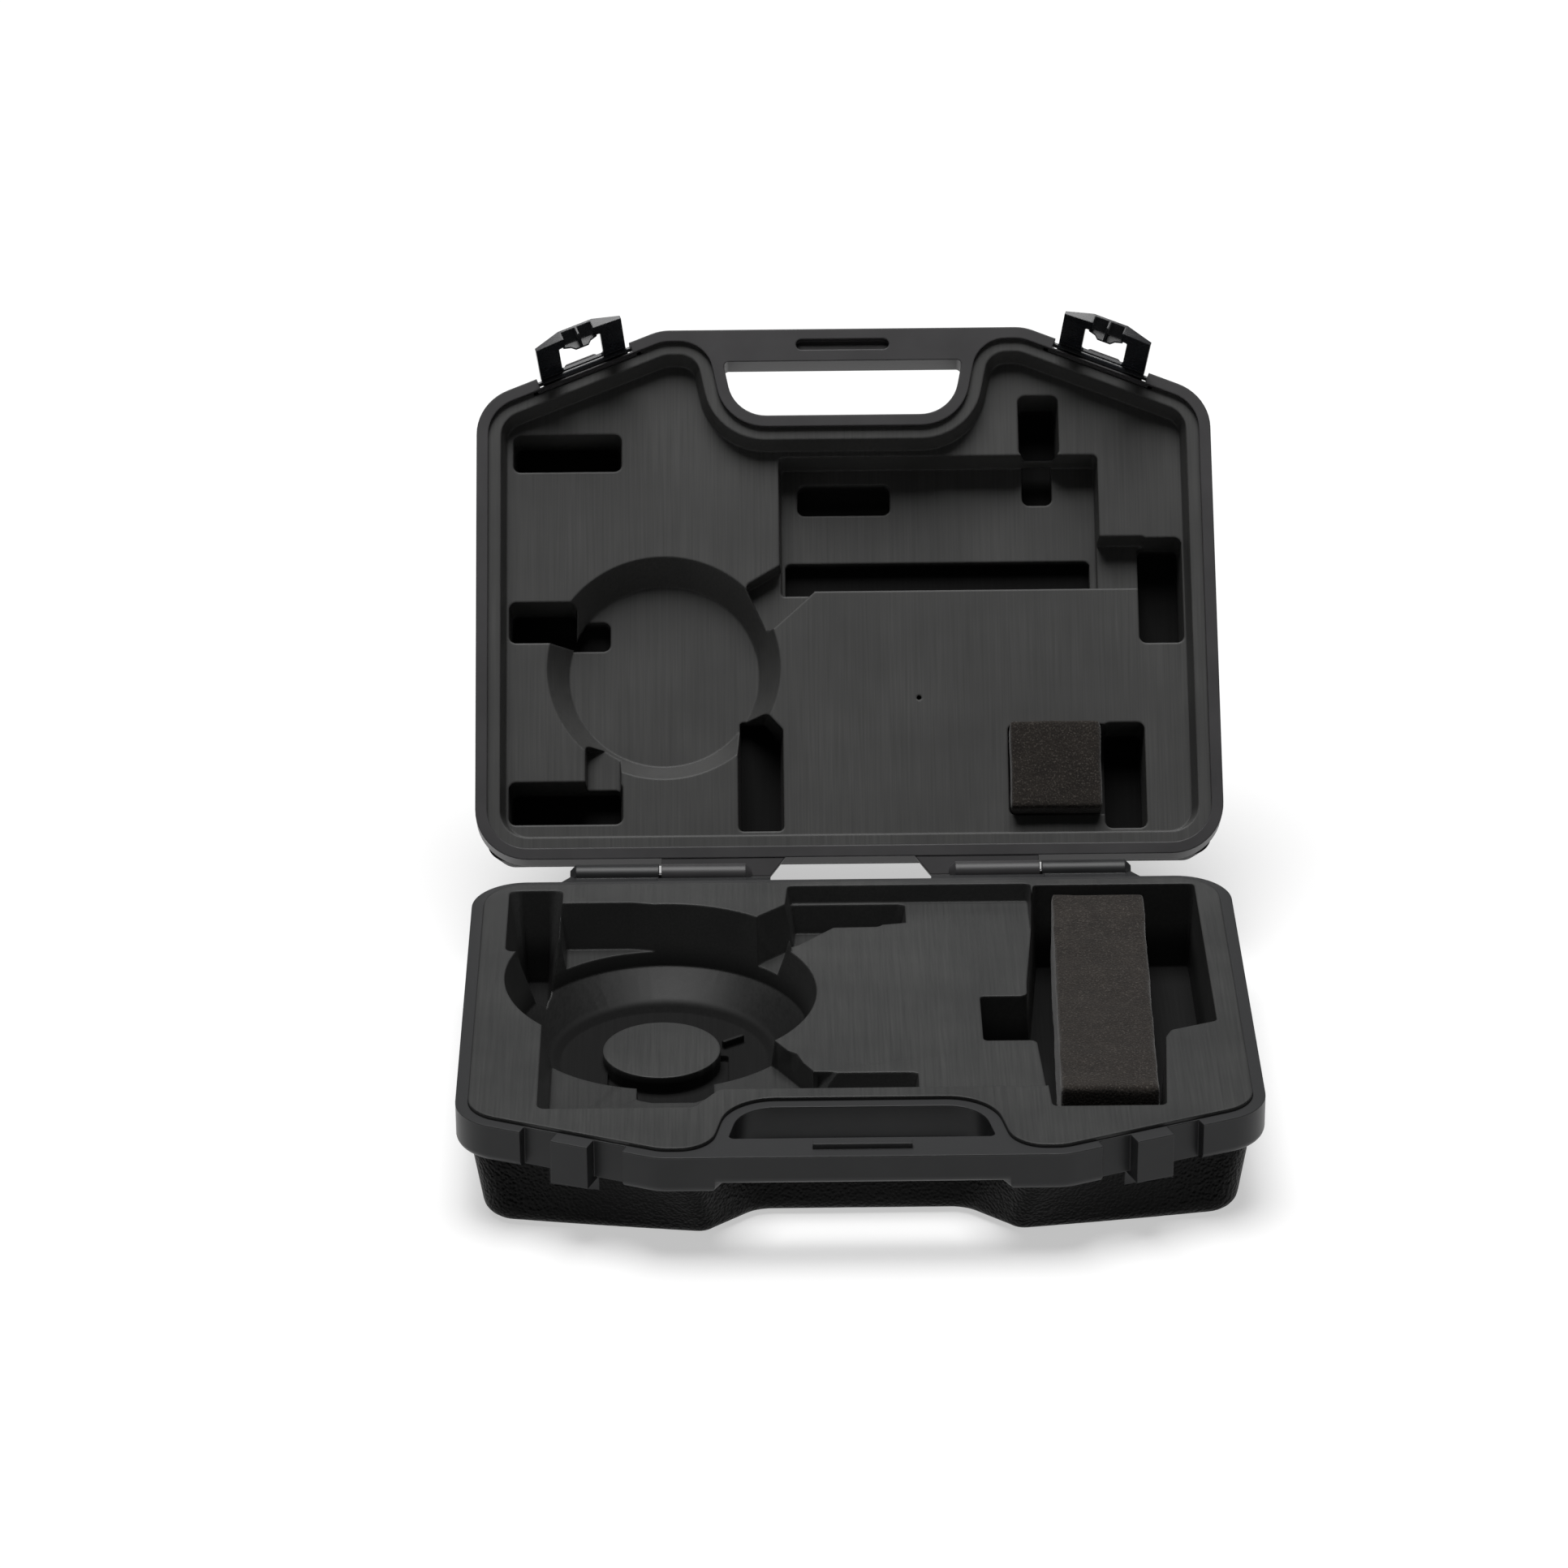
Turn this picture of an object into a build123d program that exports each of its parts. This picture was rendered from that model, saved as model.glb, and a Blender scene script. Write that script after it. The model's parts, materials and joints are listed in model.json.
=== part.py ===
from build123d import *
from math import cos, radians, sin, tan
import os

os.makedirs("parts", exist_ok=True)

# Whole case, in millimetres. Lengths "in" are measured from the back edge of the rims
# towards the handle, and heights of the lid are given as they are with the lid shut.
case_width = 380
case_depth = 286.2
base_height = 54
lid_height = 45
lid_open_angle = 132.6

# Rim outline
side_length = 247.2
nose_width = 189.4
back_corner_r = 27
shoulder_r = 26
nose_r = 25

# Walls of the double-walled halves
base_wall = 2.6
lid_wall = 1.8
tray_wall = 2.0
lid_tray_wall = 1.7
seam_clearance = 0.2

# Smooth band round each rim, deeper round the base's body than on its grip
band_height = 15
collar_height = 19.2
collar_root_x = 50
collar_end_x = 69
band_edge_r = 4
flange_width = 6
base_flange = 2.6
lid_flange = 2.5
lip_width = 2.8
lip_height = 2

# Lower body under the band
overhang = 8.7
back_overhang = 3.7
side_overhang = 5.7
wall_draft = 8.7
foot_draft = 11.3
back_draft = 2
foot_r = 8
crown_r = 8

# Grip and hand opening
grip_thickness = 17.7
opening_length = 30
opening_front_width = 124.4
opening_draft = 11.3
opening_back_r = 20
opening_front_r = 2.5
grip_shoulder_r = 23.7
bay_half_width = 52
bay_gap = 5.5
lobe_tip_x = 79
lobe_r = 12
bay_r = 16
body_corner_r = 18
body_back_r = 10

# Foot of the base, where the front is straighter than the rim's
foot_front_in = 253
foot_lobe_x = 72
foot_lobe_in = 263
foot_bay_half_width = 47
foot_bay_in = 245

# Rib on the grip that keys into the lid
key_length = 46
key_width = 3.6
key_height = 2.8
key_in = 277.7
key_clearance = 1.2
key_slot_depth = 3.4

# Hinges
hinge_out = 9.87
hinge_drop = 2.02
barrel_r = 6
hinge_pin_r = 1.5
pin_running_gap = 0.06
base_lug_inner = 96.7
lid_lug_outer = 95.5
lid_lug_inner = 50
web_barrel_x = 40.5
web_root_x = 32
base_lug_outer = 141.6
base_lug_root = 147
lug_thickness = 2.7
lug_gap = 0.3
ledge_out = 3.4
barrel_taper = 3

# Latches
latch_centre_x = 135
notch_width = 51.8
notch_depth = 5.2
catch_width = 18.5
catch_height = 21.8
catch_proud = 2.6
latch_width = 47.2
latch_thickness = 1.8
latch_proud = 0.6
latch_pivot_in = 2.2
latch_pivot_up = 3.4
latch_barrel_r = 2.5
latch_pin_r = 1.25
latch_rest_angle = 8
latch_root = 4.5
window_width = 23
window_gap = 0.4
window_corner_r = 1.2
latch_lip_gap = 0.8
tab_length = 8
tab_tip_width = 18.6
tab_shoulder = 1.2
tab_thickness = 5.5
tab_wall = 1.2
hook_reach = 3.9
hook_width = 7
hook_shoulder_reach = 1.9
hook_shoulder_width = 11
hook_end_reach = 0.8
keeper_gap = 2.6
keeper_proud = 4.6
keeper_r = 2
latch_pin_grip = 4

# Levels in the base tray, above or below the rim
plateau = 1.8
shelf = -7.5
ledge = -22.5
slot_floor = -46
foam_floor = -44
disc_floor = -46
trench_floor = -49
tray_draft = 10
tray_front_margin = 23.7

pocket_r = 3
slot_r = 4
foam_slot_draft = 3
slot_draft = 4

# Round well in the base, the boss on its floor and the fin beside it
well_edge = 96
well_in = 106
well_top_r = 77
well_mid_r = 71
well_mid = -30
disc_r = 51
boss_shift = -1
boss_r = 28.8
boss_top = -39.7
fin_shift = 34
fin_in = 90
fin_length = 12
fin_angle = 35
fin_top = -42

# Levels in the lid tray, above the rim
lid_rim_width = 12.5
lid_rim_draft = 14
lid_floor = 13
lid_deep = 37
lid_draft = 4
bay_floor = 30
channel_floor = 26
diagonal_floor = 23
lid_well_r = 60
lid_well_floor = 29
lid_well_floor_r = 49
vent_x = 36.8
vent_in = 88.3
vent_r = 1.25

# Foam
foam_strip_x = 100
foam_strip_in = 15
foam_strip_width = 46.7
foam_strip_length = 213
foam_strip_skew = -1.64
foam_strip_back_top = -1
foam_strip_mid_top = 0.5
foam_strip_mid_in = 132
foam_strip_front_top = 3.5
foam_block_x = 82.4
foam_block_in = 25.5
foam_block_size = 47
foam_block_gap = 0.6
foam_block_top = 3
foam_block_floor = 33
foam_block_corner_r = 1

# Worked out from the sizes above
back = case_depth / 2
half = case_width / 2
seam = base_height
hinge_y = back + hinge_out
hinge_z = seam - hinge_drop
nose_half = nose_width / 2
chamfer_rise = (case_depth - side_length) / (half - nose_half)
chamfer_angle = 22.25
latch_centre_in = side_length + (half - latch_centre_x) * chamfer_rise
opening_front_in = case_depth - grip_thickness
opening_back_in = opening_front_in - opening_length
opening_lean = tan(radians(opening_draft))
left = -half
right = half
tray_front = side_length - tray_front_margin
well_x = left + well_edge
foam_left = foam_strip_x
foam_right = foam_strip_x + foam_strip_width
block_right = foam_block_x + foam_block_size
block_front = foam_block_in + foam_block_size


def spot(x, inward):
    """A point in plan: x from the middle, and its distance in from the back edge."""
    return (x, back - inward)


def hinged(angle):
    """Where a half goes when it turns about the hinge pins."""
    to_axis = Location((0, hinge_y, hinge_z))
    from_axis = Location((0, -hinge_y, -hinge_z))
    return to_axis * Location((0, 0, 0), (angle, 0, 0)) * from_axis


base_place = Location((0, 0, 0))
lid_place = hinged(-lid_open_angle)


def level(place, height):
    """Plane for a plan sketch, height above the parting plane of the shut case."""
    return Plane(place * Location((0, 0, seam + height)))


def section(place, x):
    """Plane across the case at x, for profiles in y and z."""
    return Plane(place * Plane.YZ.offset(x).location)


def corner_place(side):
    """Middle of a latch notch on the rim's slanted front corner."""
    x, y = spot(side * latch_centre_x, latch_centre_in)
    return Location((x, y, 0), (0, 0, side * chamfer_angle))


with BuildSketch() as rim:
    with BuildLine():
        Polyline(
            spot(-half, 0), spot(half, 0), spot(half, side_length), spot(nose_half, case_depth),
            spot(-nose_half, case_depth), spot(-half, side_length), close=True,
        )
    make_face()
    fillet(rim.vertices().group_by(Axis.Y)[-1], back_corner_r)
    fillet(rim.vertices().group_by(Axis.Y)[0], nose_r)
    shoulders = rim.vertices().filter_by_position(Axis.X, half - 0.1, half + 0.1)
    shoulders += rim.vertices().filter_by_position(Axis.X, -half - 0.1, -half + 0.1)
    fillet(shoulders.group_by(Axis.Y)[0], shoulder_r)


def opening_half_width(inward, grow):
    """Half the width of the hand opening at a place, grown all round."""
    at_front = opening_front_width / 2 + grow / cos(radians(opening_draft))
    return at_front - (opening_front_in - inward) * opening_lean


def hand_opening(grow):
    """Trapezoid hand opening between the grip and the case."""
    near, far = opening_back_in - grow, opening_front_in + grow
    with BuildSketch() as sketch:
        with BuildLine():
            Polyline(
                spot(-opening_half_width(near, grow), near), spot(opening_half_width(near, grow), near),
                spot(opening_half_width(far, grow), far), spot(-opening_half_width(far, grow), far),
                close=True,
            )
        make_face()
        fillet(sketch.vertices().group_by(Axis.Y)[-1], opening_back_r + grow)
        fillet(sketch.vertices().group_by(Axis.Y)[0], opening_front_r)
    return sketch.sketch


def inner_outline(inset):
    """The rim outline moved in, and round the hand opening at the same distance."""
    near, far = opening_back_in - inset, case_depth + 1
    with BuildSketch() as sketch:
        add(rim.sketch)
        offset(amount=-inset)
        with BuildLine():
            Polyline(
                spot(-opening_half_width(near, inset), near), spot(opening_half_width(near, inset), near),
                spot(opening_half_width(far, inset), far), spot(-opening_half_width(far, inset), far),
                close=True,
            )
        make_face(mode=Mode.SUBTRACT)
        mouth = sketch.vertices().filter_by_position(Axis.Y, back - near - 0.1, back - near + 0.1)
        fillet(mouth, opening_back_r + inset)
        fillet(sketch.vertices().group_by(Axis.Y)[0].sort_by(Axis.X)[1:3], grip_shoulder_r - inset)
    return sketch.sketch


def notches(grow):
    """The two latch notches, cut in from the slanted front corners."""
    with BuildSketch() as sketch:
        with Locations(corner_place(-1), corner_place(1)):
            Rectangle(notch_width + 2 * grow, 2 * (notch_depth + grow))
    return sketch.sketch


def collar_outline():
    """Plan of the deeper band, which stops at the ends of the grip."""
    with BuildSketch() as sketch:
        add(rim.sketch)
        with BuildLine():
            Polyline(
                spot(-collar_root_x, opening_back_in + opening_length / 2),
                spot(collar_root_x, opening_back_in + opening_length / 2),
                spot(collar_end_x, case_depth + 1), spot(-collar_end_x, case_depth + 1), close=True,
            )
        make_face(mode=Mode.SUBTRACT)
    return sketch.sketch


def mirrored_outline(points, radii):
    """Closed outline through points on the right and their mirror images, with round corners."""
    with BuildSketch() as sketch:
        with BuildLine():
            Polyline(
                *[spot(x, inward) for x, inward in points],
                *[spot(-x, inward) for x, inward in reversed(points)],
                close=True,
            )
        make_face()
        for (x, inward), radius in zip(points, radii):
            corners = sketch.vertices().filter_by_position(Axis.Y, back - inward - 0.01, back - inward + 0.01)
            fillet(corners.filter_by(lambda v: abs(abs(v.X) - x) < 0.01), radius)
    return sketch.sketch


body_radii = [body_back_r, body_corner_r, lobe_r, bay_r]


def body_outline(inset):
    """Plan of the body below the band, this far in from the rim outline."""
    slope_in = side_length - inset / cos(radians(chamfer_angle))
    side_x = half - inset + overhang - side_overhang
    points = [
        (side_x, inset - overhang + back_overhang),
        (side_x, slope_in + (half - side_x) * chamfer_rise),
        (lobe_tip_x, slope_in + (half - lobe_tip_x) * chamfer_rise),
        (bay_half_width, opening_back_in + bay_gap),
    ]
    return mirrored_outline(points, body_radii)


foot_taper = (base_height - band_height) * tan(radians(foot_draft))
foot_back = back_overhang + (base_height - band_height) * tan(radians(back_draft))
foot_points = [
    (half - side_overhang - foot_taper, foot_back),
    (half - side_overhang - foot_taper, foot_front_in),
    (foot_lobe_x, foot_lobe_in),
    (foot_bay_half_width, foot_bay_in),
]
foot_outline = mirrored_outline(foot_points, body_radii)


def shrunk(outline, amount):
    """An outline moved in all round."""
    with BuildSketch() as sketch:
        add(outline)
        offset(amount=-amount)
    return sketch.sketch


def body_block(place, into, wall, height, corner_r, foot):
    """Tapered body below the band, from inside the band to the foot."""
    with BuildPart() as block:
        with BuildSketch(level(place, into * (band_height - wall))):
            add(shrunk(body_outline(overhang), wall) if wall else body_outline(overhang))
        with BuildSketch(level(place, into * (height - wall))):
            add(shrunk(foot, wall) if wall else foot)
        loft(ruled=True)
        far = level(place, into * (height - wall))
        fillet(block.faces().filter_by(lambda f: abs(far.to_local_coords(f.center()).Z) < 0.01).edges(), corner_r)
    return block.part


def foot_plan(height, draft):
    """Plan of the flat face of a half whose body tapers evenly."""
    return body_outline(overhang + (height - band_height) * tan(radians(draft)))


def hinge_lug(place, side, root, tip, low, high, barrel_from, barrel_to):
    """Plate and barrel of one hinge knuckle; root and tip are the plate's x spans."""
    with BuildPart() as lug:
        with BuildSketch(section(place, side * barrel_from)):
            with Locations((hinge_y, hinge_z)):
                Circle(barrel_r)
        extrude(amount=side * (barrel_to - barrel_from))
        ends = lug.edges().filter_by(GeomType.CIRCLE)
        chamfer(ends.sort_by(lambda e: abs(e.center().X - side * barrel_from))[-1:], barrel_taper)
        with BuildSketch(level(place, low)):
            with BuildLine():
                Polyline(
                    spot(side * root[0], 1), spot(side * root[1], 1),
                    spot(side * tip[1], -hinge_out), spot(side * tip[0], -hinge_out),
                    close=True,
                )
            make_face()
        extrude(amount=high - low)
    return lug.part


def pin_bore(place, side, x_from, x_to, radius):
    """Round bar along the hinge axis, for a bore or a pin."""
    with BuildPart() as bar:
        with BuildSketch(section(place, side * x_from)):
            with Locations((hinge_y, hinge_z)):
                Circle(radius)
        extrude(amount=side * (x_to - x_from))
    return bar.part


def band_block(place, into, outline, depth):
    """Upright band with a rounded far edge."""
    with BuildPart() as block:
        with BuildSketch(level(place, into * depth)):
            add(outline)
        extrude(amount=-into * depth)
        under = level(place, into * depth)
        fillet(block.faces().filter_by(lambda f: abs(under.to_local_coords(f.center()).Z) < 0.01).edges(), band_edge_r)
    return block.part


def body_hollow(place, into, wall, band, height, corner_r, foot):
    """Inside of the body, kept a wall's thickness from the hand opening."""
    with BuildPart() as hollow:
        add(body_block(place, into, wall, height, corner_r, foot))
        with BuildSketch(level(place, 0)):
            add(hand_opening(wall))
        extrude(amount=into * (band + wall), mode=Mode.SUBTRACT)
    return hollow.part


def half_shell(place, into, wall, rim_flange, bands, height, corner_r, foot):
    """Outer skin of one half: bands, tapered body, grip, hand opening and latch notches."""
    deepest = bands[-1][1]
    with BuildPart() as shell:
        for outline, depth in bands:
            add(band_block(place, into, outline, depth))
        add(body_block(place, into, 0, height, corner_r, foot))
        with BuildSketch(level(place, into * deepest)):
            add(notches(0))
            add(hand_opening(0))
        extrude(amount=-into * deepest, mode=Mode.SUBTRACT)
        for outline, depth in bands:
            with BuildSketch(level(place, into * rim_flange)):
                add(shrunk(outline, wall))
                add(hand_opening(wall), mode=Mode.SUBTRACT)
                add(notches(wall), mode=Mode.SUBTRACT)
            extrude(amount=into * (depth - wall - rim_flange), mode=Mode.SUBTRACT)
        add(body_hollow(place, into, wall, deepest, height, corner_r - wall, foot), mode=Mode.SUBTRACT)
        with BuildSketch(level(place, into * rim_flange)):
            add(inner_outline(flange_width))
        extrude(amount=-into * rim_flange, mode=Mode.SUBTRACT)
    return shell.part


def latch_pin_plane(side):
    """End of a latch pin, looking along it."""
    end = Location((-notch_width / 2 - latch_pin_grip, latch_pivot_in, seam + latch_pivot_up))
    return Plane(lid_place * corner_place(side) * end * Plane.YZ.location)


def corner_level(place, side, height):
    """Plan plane at a latch corner: x along the rim's slant, y inwards."""
    return Plane(place * corner_place(side) * Location((0, 0, seam + height)))


with BuildPart() as base_shell:
    base_bands = ((rim.sketch, band_height), (collar_outline(), collar_height))
    add(half_shell(base_place, -1, base_wall, base_flange, base_bands, base_height, foot_r, foot_outline))
    # Catches that the latches hook under
    for side in (-1, 1):
        for top, depth in ((0, flange_width), (-band_height, overhang + base_wall)):
            with BuildSketch(corner_level(base_place, side, -catch_height)):
                with Locations((0, (depth - catch_proud) / 2)):
                    Rectangle(catch_width, depth + catch_proud)
            extrude(amount=catch_height + top)
    # Key on the grip
    with BuildSketch(level(base_place, -base_flange)):
        with Locations(spot(0, key_in)):
            Rectangle(key_length, key_width)
    extrude(amount=base_flange + key_height)
    # Hinge lugs and the ledge under the lid's knuckles
    for side in (-1, 1):
        root = (base_lug_inner, base_lug_root)
        tip = (base_lug_inner, base_lug_outer - barrel_taper)
        low = -hinge_drop - barrel_r
        add(hinge_lug(base_place, side, root, tip, low, -lug_gap, base_lug_inner, base_lug_outer))
        with BuildSketch(level(base_place, low)):
            with BuildLine():
                Polyline(
                    spot(side * web_barrel_x, 1), spot(side * (base_lug_inner + 1), 1),
                    spot(side * (base_lug_inner + 1), -ledge_out), spot(side * web_barrel_x, -ledge_out),
                    close=True,
                )
            make_face()
        extrude(amount=-low)
        bore = pin_bore(base_place, side, base_lug_inner - 1, base_lug_outer - base_wall, hinge_pin_r)
        add(bore, mode=Mode.SUBTRACT)
base_shell.part.label = "base_shell"
export_step(base_shell.part, "parts/base_shell.step")


with BuildPart() as lid_shell:
    lid_foot = foot_plan(lid_height, wall_draft)
    lid_bands = ((rim.sketch, band_height),)
    add(half_shell(lid_place, 1, lid_wall, lid_flange, lid_bands, lid_height, crown_r, lid_foot))
    # Slot for the key on the base's grip, closed below
    with BuildSketch(level(lid_place, lid_flange)):
        with Locations(spot(0, key_in)):
            SlotOverall(key_length + 2 * key_clearance + 2 * lid_wall, key_width + 2 * key_clearance + 2 * lid_wall)
    extrude(amount=key_slot_depth - lid_flange + lid_wall)
    with BuildSketch(level(lid_place, 0)):
        with Locations(spot(0, key_in)):
            SlotOverall(key_length + 2 * key_clearance, key_width + 2 * key_clearance)
    extrude(amount=key_slot_depth, mode=Mode.SUBTRACT)
    # Keepers over the latch barrels, and the ends that hold the latch pins
    for side in (-1, 1):
        keeper_low = latch_pivot_up + latch_barrel_r + keeper_gap
        with BuildSketch(corner_level(lid_place, side, keeper_low)):
            with Locations((0, (notch_depth + lid_wall - keeper_proud) / 2)):
                RectangleRounded(catch_width, notch_depth + lid_wall + keeper_proud, keeper_r)
        extrude(amount=band_height - keeper_low)
        with BuildSketch(corner_level(lid_place, side, 0)):
            boss_depth = latch_pivot_in + latch_pin_r + lid_wall
            grip_x = (notch_width + latch_pin_grip) / 2
            grip_y = (boss_depth + lid_wall / 2) / 2
            with Locations((-grip_x, grip_y), (grip_x, grip_y)):
                Rectangle(latch_pin_grip, boss_depth - lid_wall / 2)
        extrude(amount=latch_pivot_up + latch_pin_r + lid_wall)
        with BuildSketch(latch_pin_plane(side)):
            Circle(latch_pin_r)
        extrude(amount=notch_width + 2 * latch_pin_grip, mode=Mode.SUBTRACT)
    for side in (-1, 1):
        root = (web_root_x, lid_lug_outer)
        tip = (web_barrel_x, lid_lug_outer)
        add(hinge_lug(lid_place, side, root, tip, lug_gap, lug_gap + lug_thickness, lid_lug_outer, lid_lug_inner))
        bore = pin_bore(lid_place, side, lid_lug_inner + base_wall, lid_lug_outer + 1, hinge_pin_r + pin_running_gap)
        add(bore, mode=Mode.SUBTRACT)
lid_shell.part.label = "lid_shell"
export_step(lid_shell.part, "parts/lid_shell.step")


def plan(points, radius):
    """Closed plan outline through points given as x and distance in, corners rounded."""
    with BuildSketch() as sketch:
        with BuildLine():
            Polyline(*[spot(x, inward) for x, inward in points], close=True)
        make_face()
        fillet(sketch.vertices(), radius)
    return sketch.sketch


def box_plan(x_low, x_high, near, far, radius):
    """Rectangular plan outline with round corners."""
    return plan([(x_low, near), (x_high, near), (x_high, far), (x_low, far)], radius)


def round_plan(x, inward, radius):
    """Round plan outline."""
    with BuildSketch() as sketch:
        with Locations(spot(x, inward)):
            Circle(radius)
    return sketch.sketch


def pocket_solid(place, pocket, wall):
    """The space of a pocket, or with a wall the solid that the tray's skin fills round it."""
    outline, top, floor, draft = pocket
    depth = floor - top
    with BuildPart() as solid:
        with BuildSketch(level(place, top)):
            add(outline)
            if wall:
                offset(amount=wall)
        extrude(amount=depth + (wall if depth > 0 else -wall), taper=draft)
    return solid.part


def well_solid(place, steps, wall):
    """A round well through steps of radius and level, or with a wall the solid round it."""
    outline = [(radius + wall, height) for radius, height in steps]
    top, floor = steps[0][1], steps[-1][1]
    if wall:
        floor += wall if floor > top else -wall
        outline.append((steps[-1][0] + wall, floor))
    with BuildPart() as solid:
        axis = place * Location((*spot(well_x, well_in), seam))
        with BuildSketch(Plane(axis * Plane.XZ.location)):
            with BuildLine():
                Polyline((0, top), *outline, (0, floor), close=True)
            make_face()
        revolve(axis=Axis(axis.position, axis.z_axis.direction))
    return solid.part


# Pockets in the base: plan outline, level of the mouth, level of the floor, draft
base_pockets = [
    (plan([(-32.3, 10.5), (foam_left - 10, 10.5), (foam_left - 10, tray_front), (-66, tray_front),
           (-66, 120), (-32.3, 70)], pocket_r), plateau, shelf, tray_draft),
    (box_plan(left + 18.5, left + 45.5, 13, 79.5, slot_r), plateau, slot_floor, tray_draft),
    (plan([(left + 43, 27), (left + 80, 27), (left + 105, 32), (left + 105, 90), (left + 43, 90)], slot_r),
     plateau, ledge, tray_draft),
    (plan([(left + 38.5, 150), (-60, 150), (-28, 170), (-21.6, 189.5), (0, 189.5), (0, tray_front),
           (-66, tray_front), (-78, side_length - 6.2), (left + 38.5, side_length - 6.2)], slot_r),
     plateau, ledge, tray_draft),
    (plan([(-60, 130), (-38.4, 160), (-21.6, 189), (-21.6, 200), (-60, 200)], pocket_r), shelf, ledge, 0),
    (box_plan(-21.6, 30, 189.5, tray_front, slot_r), plateau, ledge, tray_draft),
    (plan([(-32.3, 12), (28.5, 12), (28.5, 40), (-8, 40), (-29.6, 63), (-60, 70), (-60, 60),
           (-46.5, 43), (-33.6, 31)], pocket_r), plateau, ledge, tray_draft),
    (plan([(foam_left - 9, 12.5), (right - 18, 12.5), (right - 17.5, 160), (foam_right + 3.3, 169),
           (foam_right + 0.3, 176), (foam_right - 3.9, side_length - 3.7), (foam_left - 10.5, side_length - 3.7),
           (foam_left - 14.4, 161), (foam_left - 40, 161), (foam_left - 40, 114), (foam_left - 17, 114),
           (foam_left - 16.5, 100)], pocket_r), plateau, foam_floor, foam_slot_draft),
    (plan([(well_x - 12, 150), (well_x + 25, 150), (well_x + 25, 186), (well_x + 16, 192),
           (well_x - 4, 192), (well_x - 12, 189)], pocket_r), ledge, well_mid, slot_draft),
    (plan([(well_x - 28.5, 100), (well_x + 33, 100), (well_x + 33, 165), (well_x + 24, 178),
           (well_x - 12, 178), (well_x - 28.5, 172)], pocket_r), well_mid, trench_floor, slot_draft),
]

base_well = [(well_top_r, plateau), (well_mid_r, well_mid), (disc_r, disc_floor)]
lid_well = [(lid_well_r, lid_floor), (lid_well_floor_r, lid_well_floor)]

with BuildPart() as base_tray:
    lip_top = -base_flange
    with BuildSketch(level(base_place, lip_top - lip_height)):
        add(inner_outline(flange_width - lip_width))
        add(notches(base_wall + tray_wall), mode=Mode.SUBTRACT)
    extrude(amount=lip_height)
    with BuildSketch(level(base_place, lip_top)):
        add(inner_outline(flange_width + seam_clearance))
    extrude(amount=plateau - lip_top)
    with BuildSketch(level(base_place, lip_top - lip_height)):
        add(inner_outline(flange_width + seam_clearance + tray_wall))
    extrude(amount=plateau - tray_wall - lip_top + lip_height, mode=Mode.SUBTRACT)
    add(well_solid(base_place, base_well, tray_wall))
    for pocket in base_pockets:
        add(pocket_solid(base_place, pocket, tray_wall))
    add(well_solid(base_place, base_well, 0), mode=Mode.SUBTRACT)
    for pocket in base_pockets:
        add(pocket_solid(base_place, pocket, 0), mode=Mode.SUBTRACT)
    boss = round_plan(well_x + boss_shift, well_in, boss_r)
    with BuildSketch(level(base_place, trench_floor - tray_wall)):
        add(boss)
    extrude(amount=boss_top - trench_floor + tray_wall)
    with BuildSketch(level(base_place, trench_floor - tray_wall)):
        add(shrunk(boss, tray_wall))
    extrude(amount=boss_top - trench_floor, mode=Mode.SUBTRACT)
    with BuildSketch(level(base_place, trench_floor - tray_wall / 2)):
        with Locations(Location((*spot(well_x + fin_shift, fin_in), 0), (0, 0, fin_angle))):
            Rectangle(fin_length, tray_wall)
    extrude(amount=fin_top - trench_floor + tray_wall / 2)
base_tray.part.label = "base_tray"
export_step(base_tray.part, "parts/base_tray.step")


# Pockets in the lid, in the same form
lid_pockets = [
    (inner_outline(lid_rim_width), lid_flange, lid_floor, lid_rim_draft),
    (box_plan(-34, right - 58.3, 146.3, side_length - 27.2, pocket_r), lid_floor, bay_floor, lid_draft),
    (box_plan(-31, right - 63, 147.4, 167.2, pocket_r), bay_floor, lid_deep, lid_draft),
    (box_plan(-24.3, 24, 193.5, 210.6, slot_r), bay_floor, lid_deep, lid_draft),
    (box_plan(90.9, 112, 219, side_length + 5.8, slot_r), lid_floor, lid_deep, lid_draft),
    (box_plan(92.8, 108.5, 198, 230, slot_r), bay_floor, lid_deep, lid_draft),
    (box_plan(left + 18.5, left + 74.8, 213, 233.8, slot_r), lid_floor, lid_deep, lid_draft),
    (box_plan(left + 16.4, left + 52, 119.7, 142.1, slot_r), lid_floor, lid_deep, lid_draft),
    (box_plan(left + 46, left + 68.4, 120, 136, slot_r), lid_well_floor, lid_deep, lid_draft),
    (box_plan(left + 16.4, left + 74.8, 22, 45, slot_r), lid_floor, lid_deep, lid_draft),
    (box_plan(left + 55.5, left + 74, 38, 66, pocket_r), lid_floor, channel_floor, lid_draft),
    (plan([(-56.5, 17.5), (-33.1, 17.5), (-33.1, 72), (-42, 82), (-56.5, 82)], pocket_r),
     lid_floor, lid_deep, lid_draft),
    (box_plan(right - 39.3, right - 16.1, 116.5, 174, slot_r), lid_floor, lid_deep, lid_draft),
    (box_plan(right - 64, right - 34, 146.3, 175, pocket_r), lid_floor, channel_floor, lid_draft),
    (box_plan(block_right + 1, block_right + 22.6, 17.3, block_front + 1.5, slot_r),
     lid_floor, lid_deep, lid_draft),
    (box_plan(foam_block_x - foam_block_gap, block_right + 4.6, foam_block_in - foam_block_gap,
              block_front + foam_block_gap, pocket_r), lid_floor, foam_block_floor, 0),
    (plan([(-52, 150), (-32, 162), (-14, 148), (-40, 124)], pocket_r), lid_floor, diagonal_floor, lid_draft),
]

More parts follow.
